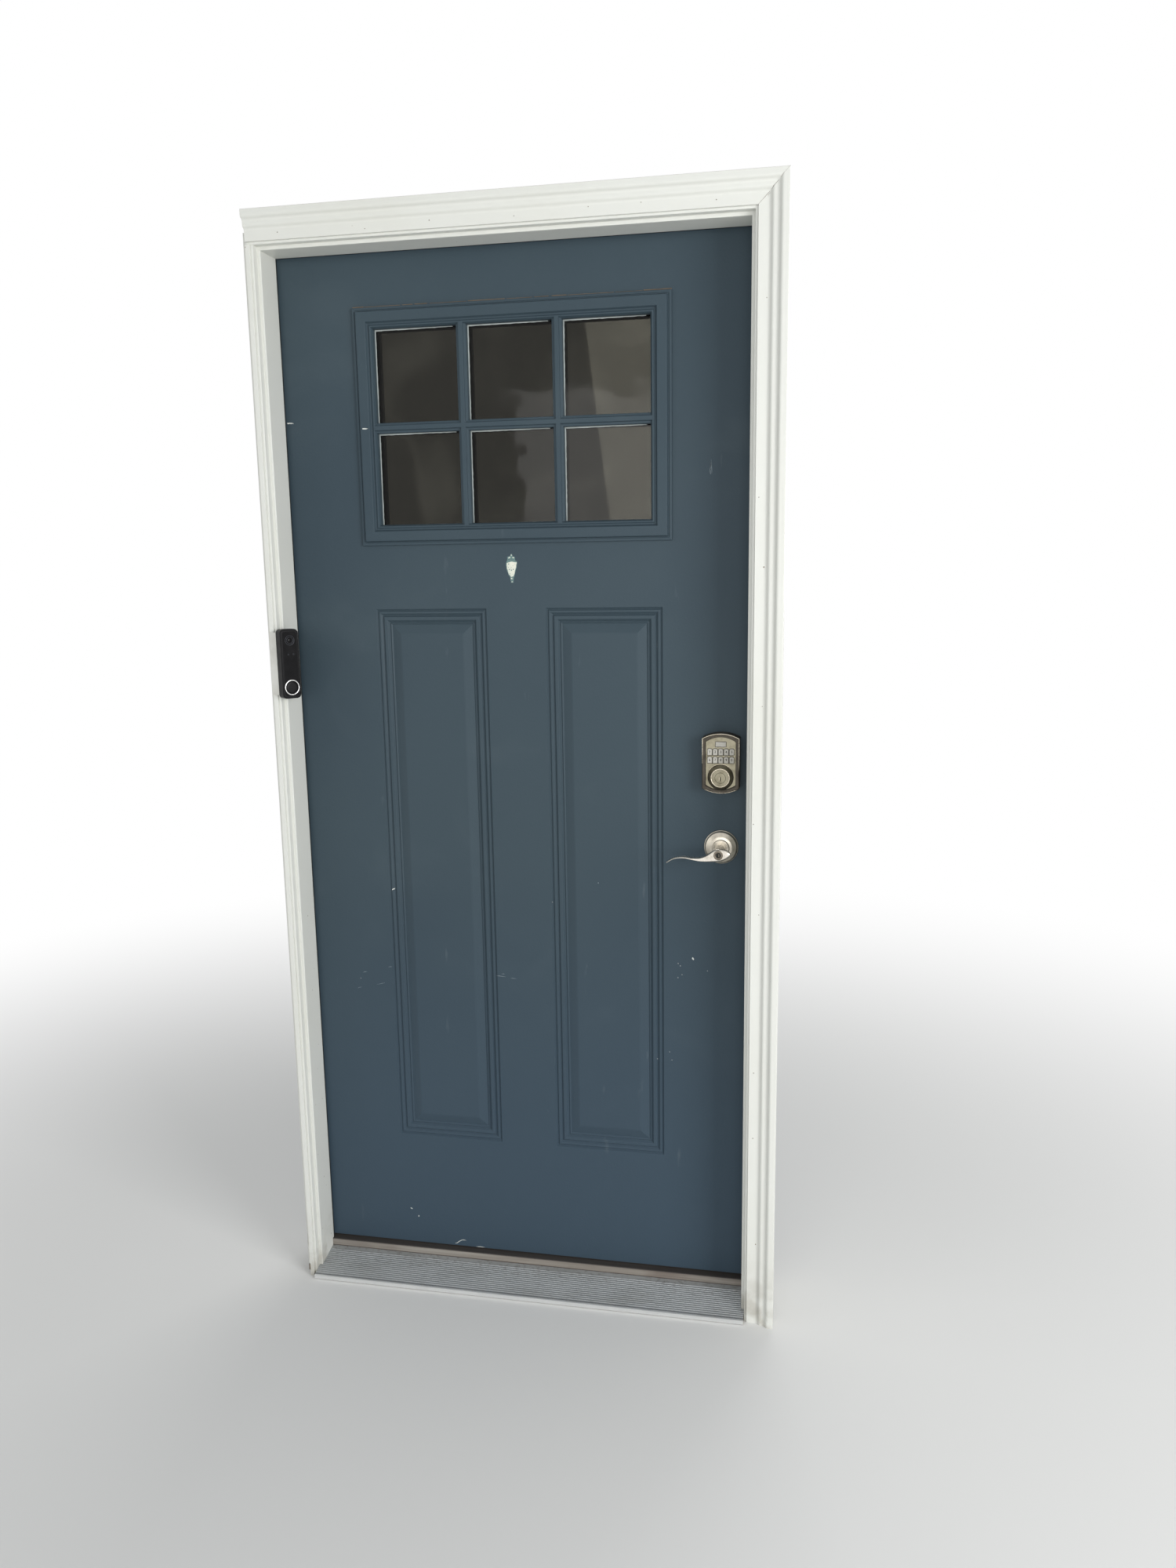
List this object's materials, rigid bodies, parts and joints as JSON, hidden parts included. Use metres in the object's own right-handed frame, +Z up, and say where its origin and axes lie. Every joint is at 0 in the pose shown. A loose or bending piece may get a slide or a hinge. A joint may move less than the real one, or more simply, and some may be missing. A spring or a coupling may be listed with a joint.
{
  "type": "panelled front door with frame",
  "caption": "Entrance door with embossed lower panels, divided window, keypad deadbolt and lever, hung in its rebated frame with casing, sill and corner doorbell.",
  "frame": {"origin": "on the ground under the sill, at the middle of the opening's width and in the plane of the jambs' outer edges, on which the casing lies", "axes": "+X from the hinge side to the latch side as seen from outside, +Y from outside to inside, +Z up"},
  "size_m": [0.9843, 0.2282, 2.113],
  "materials": {
    "trim_paint": "satin white exterior paint over wood",
    "vinyl_white": "white corner wedge, semi-gloss",
    "slab_paint": "satin slate-blue exterior paint",
    "lite_paint": "satin slate-blue paint on moulded plastic",
    "foam": "rigid foam",
    "wood": "softwood",
    "aluminium": "mill finish, weathered",
    "riser": "brown",
    "seal": "black",
    "sweep": "black",
    "glass": "clear",
    "hinge_steel": "satin nickel",
    "nickel": "satin nickel",
    "nickel_dark": "antique satin nickel",
    "bolt_brass": "plain",
    "screw_steel": "zinc plated",
    "bell_black": "satin black",
    "bell_lens": "dark gloss",
    "bell_button": "black with a silver ring",
    "key_rubber": "dark grey",
    "cell": "plain jacket",
    "base": "composite"
  },
  "bodies": {
    "frame": {"jamb_hinge_side": "trim_paint", "jamb_latch_side": "trim_paint", "jamb_head": "trim_paint", "casing_left": "trim_paint", "casing_right": "trim_paint", "casing_head": "trim_paint", "sill_base": "base", "sill_deck": "aluminium", "sill_riser": "riser", "weatherstrip": "seal", "hinge_frame_leaves": "hinge_steel", "hinge_pins": "hinge_steel", "frame_screws": "screw_steel", "latch_strike": "hinge_steel", "deadbolt_strike": "hinge_steel", "doorbell_mount": "vinyl_white", "doorbell_body": "bell_black", "doorbell_lens": "bell_lens"},
    "door": {"skin_outside": "slab_paint", "skin_inside": "slab_paint", "foam_core": "foam", "stile_hinge": "wood", "stile_latch": "wood", "slab_rails": "wood", "lite_frame_outside": "lite_paint", "lite_frame_inside": "lite_paint", "glass_panes": "glass", "glass_spacer": "aluminium", "door_screws": "screw_steel", "door_sweep": "sweep", "hinge_door_leaves": "hinge_steel", "rose_outside": "nickel", "rose_inside": "nickel", "latch_case": "nickel", "lock_chassis": "screw_steel", "deadbolt_case": "nickel", "keypad_housing": "nickel_dark", "keypad_face": "nickel_dark", "deadbolt_inside_cover": "nickel_dark", "battery": "cell"},
    "lever_outside": {"lever_outside": "nickel"},
    "lever_inside": {"lever_inside": "nickel"},
    "lever_plug": {"lever_plug": "nickel_dark"},
    "turn_button": {"turn_button": "nickel"},
    "latch_bolt": {"latch_bolt": "bolt_brass"},
    "deadbolt_bolt": {"deadbolt_bolt": "bolt_brass"},
    "thumbturn": {"thumbturn": "nickel_dark"},
    "deadbolt_plug": {"deadbolt_plug": "nickel"},
    "lock_key": {"lock_key": "key_rubber"},
    "doorbell_button": {"doorbell_button": "bell_button"},
    "key_0": {"key_0": "key_rubber"},
    "key_1": {"key_1": "key_rubber"},
    "key_2": {"key_2": "key_rubber"},
    "key_3": {"key_3": "key_rubber"},
    "key_4": {"key_4": "key_rubber"},
    "key_5": {"key_5": "key_rubber"},
    "key_6": {"key_6": "key_rubber"},
    "key_7": {"key_7": "key_rubber"},
    "key_8": {"key_8": "key_rubber"},
    "key_9": {"key_9": "key_rubber"}
  },
  "joints": [
    {"name": "door_swing", "type": "hinge", "parent": "frame", "child": "door", "pos_m": [-0.45563, 0.12295, 1], "axis": [0, 0, 1], "range_deg": [0, 105]},
    {"name": "lever_outside_turn", "type": "hinge", "parent": "door", "child": "lever_outside", "pos_m": [0.39372, 0.0135, 0.9433], "axis": [0, -1, 0], "range_deg": [0, 50], "stiffness_Nm_per_rad": 0.9, "springref_deg": -20.05},
    {"name": "lever_inside_turn", "type": "hinge", "parent": "door", "child": "lever_inside", "pos_m": [0.39372, 0.174, 0.9433], "axis": [0, -1, 0], "range_deg": [0, 50], "stiffness_Nm_per_rad": 0.9, "springref_deg": -20.05},
    {"name": "lever_plug_turn", "type": "hinge", "parent": "lever_outside", "child": "lever_plug", "pos_m": [0.39372, 0.01, 0.9433], "axis": [0, 1, 0], "range_deg": [-90, 90]},
    {"name": "turn_button_turn", "type": "hinge", "parent": "lever_inside", "child": "turn_button", "pos_m": [0.39372, 0.17, 0.9433], "axis": [0, 1, 0], "range_deg": [0, 90]},
    {"name": "latch_slide", "type": "slide", "parent": "door", "child": "latch_bolt", "axis": [1, 0, 0], "range_m": [0, 0.0127]},
    {"name": "thumbturn_turn", "type": "hinge", "parent": "door", "child": "thumbturn", "pos_m": [0.39372, 0.14, 1.083], "axis": [0, 1, 0], "range_deg": [0, 90]},
    {"name": "deadbolt_slide", "type": "slide", "parent": "door", "child": "deadbolt_bolt", "axis": [1, 0, 0], "range_m": [0, 0.0255]},
    {"name": "deadbolt_plug_turn", "type": "hinge", "parent": "door", "child": "deadbolt_plug", "pos_m": [0.39372, 0.05, 1.083], "axis": [0, 1, 0], "range_deg": [-90, 90]},
    {"name": "lock_key_press", "type": "slide", "parent": "door", "child": "lock_key", "axis": [0, 1, 0], "range_m": [0, 0.0008], "stiffness_N_per_m": 400, "springref_m": -0.0005},
    {"name": "doorbell_press", "type": "slide", "parent": "frame", "child": "doorbell_button", "axis": [-0.766, 0.6428, 0], "range_m": [0, 0.001], "stiffness_N_per_m": 400, "springref_m": -0.0005},
    {"name": "key_0_press", "type": "slide", "parent": "door", "child": "key_0", "axis": [0, 1, 0], "range_m": [0, 0.0008], "stiffness_N_per_m": 400, "springref_m": -0.0005},
    {"name": "key_1_press", "type": "slide", "parent": "door", "child": "key_1", "axis": [0, 1, 0], "range_m": [0, 0.0008], "stiffness_N_per_m": 400, "springref_m": -0.0005},
    {"name": "key_2_press", "type": "slide", "parent": "door", "child": "key_2", "axis": [0, 1, 0], "range_m": [0, 0.0008], "stiffness_N_per_m": 400, "springref_m": -0.0005},
    {"name": "key_3_press", "type": "slide", "parent": "door", "child": "key_3", "axis": [0, 1, 0], "range_m": [0, 0.0008], "stiffness_N_per_m": 400, "springref_m": -0.0005},
    {"name": "key_4_press", "type": "slide", "parent": "door", "child": "key_4", "axis": [0, 1, 0], "range_m": [0, 0.0008], "stiffness_N_per_m": 400, "springref_m": -0.0005},
    {"name": "key_5_press", "type": "slide", "parent": "door", "child": "key_5", "axis": [0, 1, 0], "range_m": [0, 0.0008], "stiffness_N_per_m": 400, "springref_m": -0.0005},
    {"name": "key_6_press", "type": "slide", "parent": "door", "child": "key_6", "axis": [0, 1, 0], "range_m": [0, 0.0008], "stiffness_N_per_m": 400, "springref_m": -0.0005},
    {"name": "key_7_press", "type": "slide", "parent": "door", "child": "key_7", "axis": [0, 1, 0], "range_m": [0, 0.0008], "stiffness_N_per_m": 400, "springref_m": -0.0005},
    {"name": "key_8_press", "type": "slide", "parent": "door", "child": "key_8", "axis": [0, 1, 0], "range_m": [0, 0.0008], "stiffness_N_per_m": 400, "springref_m": -0.0005},
    {"name": "key_9_press", "type": "slide", "parent": "door", "child": "key_9", "axis": [0, 1, 0], "range_m": [0, 0.0008], "stiffness_N_per_m": 400, "springref_m": -0.0005}
  ],
  "couplings": [
    {"joint": "deadbolt_slide", "follows": "thumbturn_turn", "m_per_rad": 0.01617}
  ]
}
